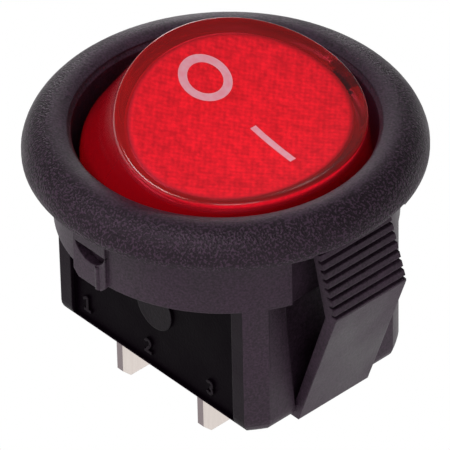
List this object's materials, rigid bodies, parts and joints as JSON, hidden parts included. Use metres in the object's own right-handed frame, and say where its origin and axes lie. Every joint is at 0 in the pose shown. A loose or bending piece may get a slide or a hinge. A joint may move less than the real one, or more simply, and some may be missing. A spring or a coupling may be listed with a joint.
{
  "type": "panel rocker switch",
  "caption": "Round snap-in panel switch: black bezel and body, red translucent see-saw rocker marked O and I, blade terminals below.",
  "frame": {"origin": "centre of the bezel's underside, on the switch's axis, where the bezel seats on the front of the panel", "axes": "+Z out of the panel towards the user, Y along the rocker's pivot axis with the numbered face on -Y, +X towards the I end of the rocker"},
  "size_m": [0.0238, 0.023, 0.0252],
  "materials": {
    "black_nylon": "moulded nylon, satin with a fine spark-eroded grain",
    "red_lens": "translucent red polycarbonate, glossy with a diffusing texture",
    "white_acetal": "moulded",
    "tinned_brass": "stamped sheet, bright tin plated",
    "copper_alloy": "stamped sheet",
    "silver_contact": "silver alloy, lightly polished",
    "spring_steel": "drawn wire"
  },
  "bodies": {
    "housing": {"housing": "black_nylon", "fixed_contact": "silver_contact", "line_terminal": "tinned_brass", "common_terminal": "tinned_brass"},
    "rocker": {"rocker_cap": "red_lens", "rocker_frame": "black_nylon"},
    "plunger": {"plunger": "white_acetal", "plunger_spring": "spring_steel"},
    "blade": {"contact_blade": "copper_alloy", "moving_contact": "silver_contact"}
  },
  "joints": [
    {"name": "rocker_tilt", "type": "hinge", "parent": "housing", "child": "rocker", "pos_m": [0, 0, -0.0021], "axis": [0, 1, 0], "range_deg": [-31.6, 0]},
    {"name": "plunger_slide", "type": "slide", "parent": "rocker", "child": "plunger", "axis": [0.2723, 0, 0.9622], "range_m": [0, 0.0004], "stiffness_N_per_m": 300, "deforming": ["plunger_spring"]},
    {"name": "blade_tilt", "type": "hinge", "parent": "housing", "child": "blade", "pos_m": [0, 0, -0.0096], "axis": [0, 1, 0], "range_deg": [0, 15.8]}
  ],
  "couplings": [
    {"joint": "blade_tilt", "follows": "rocker_tilt", "ratio": -0.5}
  ]
}
